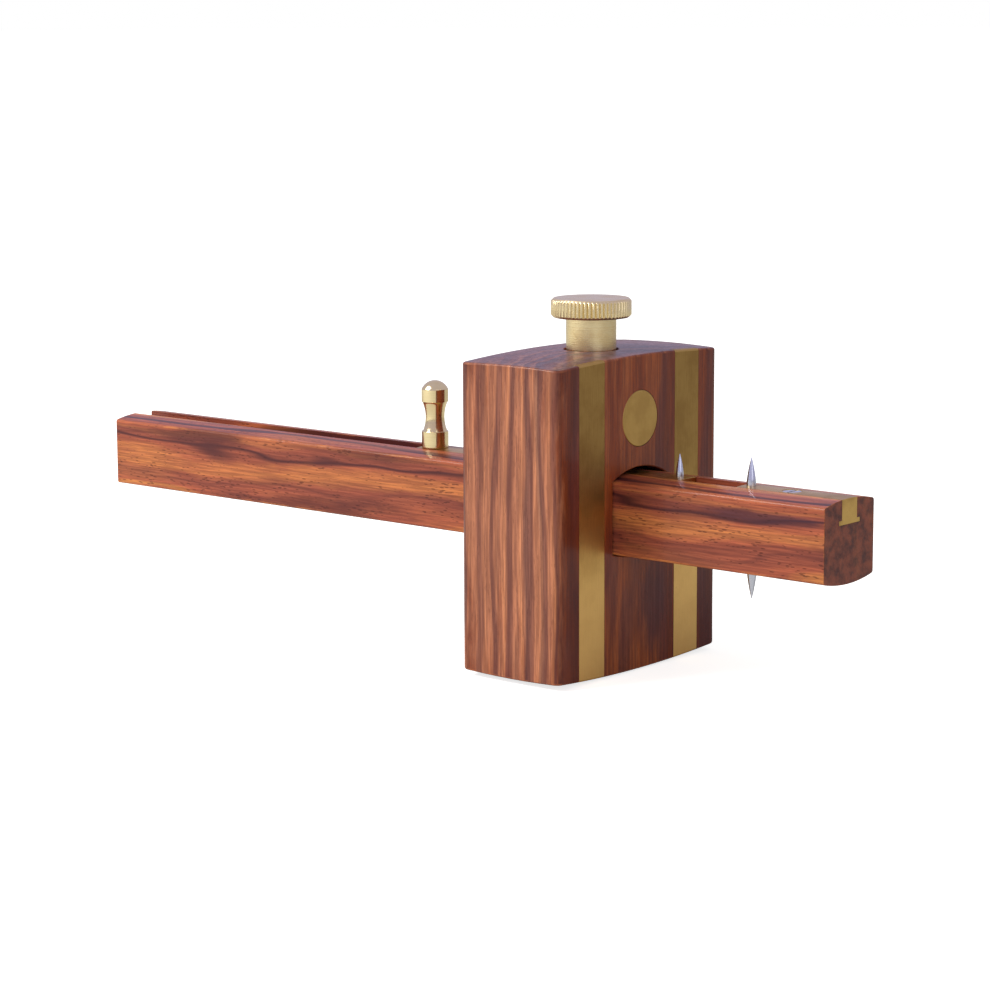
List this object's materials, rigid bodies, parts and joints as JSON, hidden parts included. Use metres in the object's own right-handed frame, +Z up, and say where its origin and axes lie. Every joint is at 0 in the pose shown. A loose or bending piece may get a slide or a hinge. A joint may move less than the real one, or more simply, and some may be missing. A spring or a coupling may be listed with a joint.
{
  "type": "mortise gauge",
  "caption": "Wooden marking gauge with a brass-faced stock that slides on a grooved stem, twin scribing pins set by a brass slide, a single pin below and a clamping thumbscrew",
  "frame": {"origin": "X at the stem's mid-length, Y on the stem's axis, Z at the lowest point of the stock's crowned foot", "axes": "+X along the stem towards the scribing pins, +Y to the side away from the viewer, +Z up along the thumbscrew"},
  "size_m": [0.23, 0.0616, 0.0883],
  "materials": {
    "rosewood": "satin lacquer over dark streaked grain",
    "brass": "brushed and turned",
    "steel": "polished"
  },
  "bodies": {
    "fence": {"stock": "rosewood", "wear_strip_front": "brass", "wear_strip_back": "brass", "barrel_nut": "brass"},
    "slide": {"pin_slide": "brass", "moving_pin": "steel", "slide_knob": "brass"},
    "stem_assembly": {"stem": "rosewood", "end_block": "brass", "end_block_screw": "steel", "fixed_pin": "steel", "marking_pin": "steel"},
    "shoe": {"clamp_shoe": "brass"},
    "screw": {"thumbscrew": "brass"}
  },
  "joints": [
    {"name": "fence_setting", "type": "slide", "parent": "fence", "child": "slide", "axis": [1, 0, 0], "range_m": [-0.0107, 0.0315]},
    {"name": "pin_spacing", "type": "slide", "parent": "slide", "child": "stem_assembly", "axis": [1, 0, 0], "range_m": [-0.0156, 0.1]},
    {"name": "shoe_lift", "type": "slide", "parent": "fence", "child": "shoe", "axis": [0, 0, 1], "range_m": [0, 0.00187]},
    {"name": "thumbscrew_turn", "type": "hinge", "parent": "shoe", "child": "screw", "pos_m": [0.0414, 0, 0.0763], "axis": [0, 0, 1], "range_deg": [0, 540]}
  ],
  "couplings": [
    {"joint": "thumbscrew_turn", "follows": "shoe_lift", "rad_per_m": 5026.5}
  ]
}
